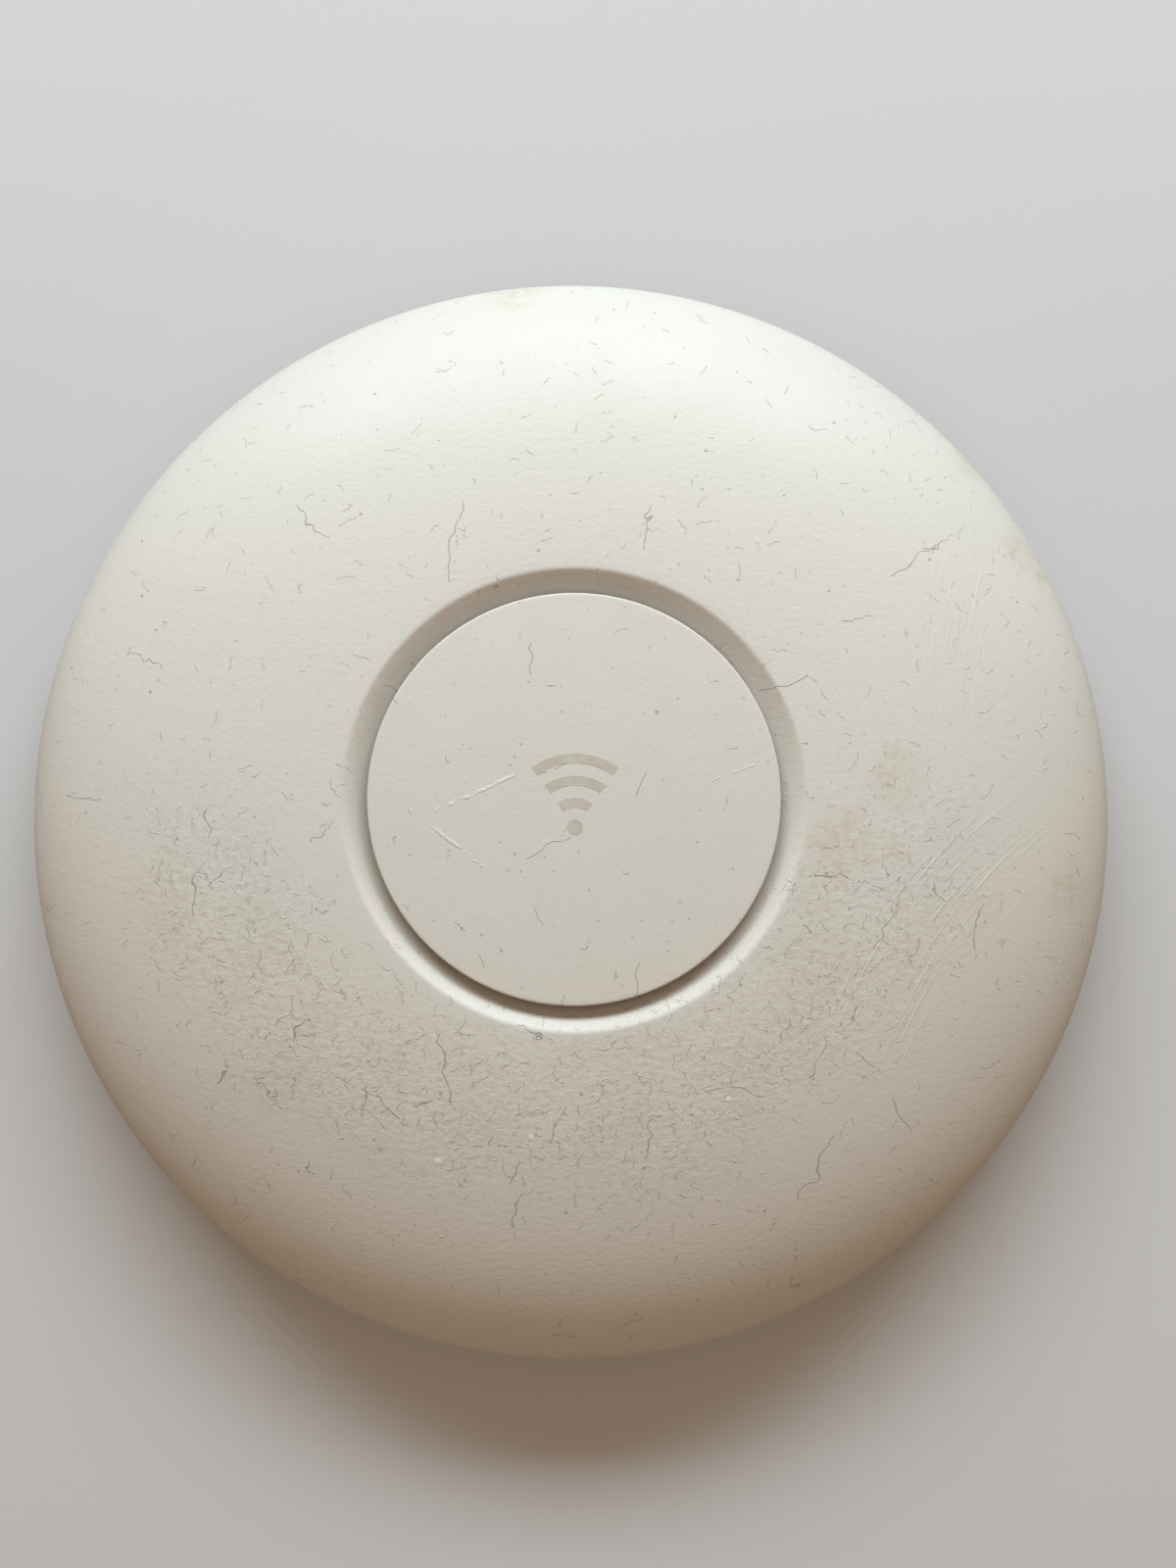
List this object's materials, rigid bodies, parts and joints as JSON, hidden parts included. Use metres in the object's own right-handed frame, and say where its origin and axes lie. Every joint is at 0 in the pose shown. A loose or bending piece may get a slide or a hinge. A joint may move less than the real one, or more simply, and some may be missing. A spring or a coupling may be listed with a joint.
{
  "type": "ceiling access point",
  "caption": "Round ceiling-mounted wireless access point: shallow domed cover with a lit ring round a centre cap, port bay in the back and a twist-off mounting bracket.",
  "frame": {"origin": "centre of the mounting bracket's back face, which lies against the ceiling", "axes": "+Z from the ceiling out through the middle of the dome; the ports face -Y"},
  "size_m": [0.1968, 0.1968, 0.035],
  "materials": {
    "cover_plastic": "fine satin moulded white plastic, soiled with lint, fingerprints and small scratches",
    "cap_plastic": "satin white plastic with a light grey printed wireless symbol",
    "light_guide": "translucent frosted light guide, unlit",
    "rear_plastic": "white plastic with a fine spark texture",
    "bracket_plastic": "pale grey glass-filled plastic, spark textured",
    "port_plastic": "black connector plastic",
    "component_black": "black moulded component body",
    "button_plastic": "dark grey moulded plunger",
    "circuit_board": "green solder mask over glass laminate",
    "spreader_aluminium": "die-cast and lightly blasted",
    "tin_plate": "bright tin-plated sheet",
    "thermal_pad": "soft silicone pad",
    "antenna_metal": "stamped nickel-brass strip",
    "contact_gold": "gold-flashed spring contacts",
    "ferrite": "dark grey ferrite",
    "can_aluminium": "drawn aluminium can",
    "lamp": "clear lamp package, unlit",
    "screw_steel": "zinc-plated steel",
    "label": "blank silvery-white label"
  },
  "bodies": {
    "bracket": {"mounting_bracket": "bracket_plastic"},
    "lever": {"lock_lever": "bracket_plastic"},
    "access_point": {"dome_cover": "cover_plastic", "center_cap": "cap_plastic", "light_ring": "light_guide", "rear_housing": "rear_plastic", "rear_label": "label", "case_screw_1": "screw_steel", "case_screw_2": "screw_steel", "case_screw_3": "screw_steel", "case_screw_4": "screw_steel", "board_screw_1": "screw_steel", "board_screw_2": "screw_steel", "board_screw_3": "screw_steel", "board_screw_4": "screw_steel", "main_board": "circuit_board", "heat_spreader": "spreader_aluminium", "cpu_shield": "tin_plate", "radio_left_shield": "tin_plate", "radio_right_shield": "tin_plate", "cpu_pad": "thermal_pad", "radio_left_pad": "thermal_pad", "radio_right_pad": "thermal_pad", "antenna_low_band_1": "antenna_metal", "antenna_low_band_2": "antenna_metal", "antenna_low_band_3": "antenna_metal", "antenna_high_band_1": "antenna_metal", "antenna_high_band_2": "antenna_metal", "antenna_high_band_3": "antenna_metal", "main_port_jack": "port_plastic", "second_port_jack": "port_plastic", "main_port_contacts": "contact_gold", "second_port_contacts": "contact_gold", "usb_port": "tin_plate", "usb_tongue": "port_plastic", "lan_transformer_1": "component_black", "lan_transformer_2": "component_black", "power_transformer": "ferrite", "power_inductor": "ferrite", "capacitor_1": "can_aluminium", "capacitor_2": "can_aluminium", "status_led_1": "lamp", "status_led_2": "lamp", "status_led_3": "lamp", "status_led_4": "lamp", "reset_switch": "component_black"},
    "button": {"reset_button": "button_plastic"},
    "door": {"cable_door": "rear_plastic"}
  },
  "joints": [
    {"name": "bracket_twist", "type": "hinge", "parent": "bracket", "child": "access_point", "pos_m": [0, 0, 0], "axis": [0, 0, 1], "range_deg": [0, 20]},
    {"name": "lever_flex", "type": "hinge", "parent": "bracket", "child": "lever", "pos_m": [0.04323, 0.01573, 0.003], "axis": [0, 0, 1], "range_deg": [0, 6], "stiffness_Nm_per_rad": 0.25},
    {"name": "reset_press", "type": "slide", "parent": "access_point", "child": "button", "axis": [0, 1, 0], "range_m": [0, 0.0005], "stiffness_N_per_m": 600},
    {"name": "cable_door_pull", "type": "slide", "parent": "access_point", "child": "door", "axis": [0, -1, 0], "range_m": [0, 0.014]}
  ]
}
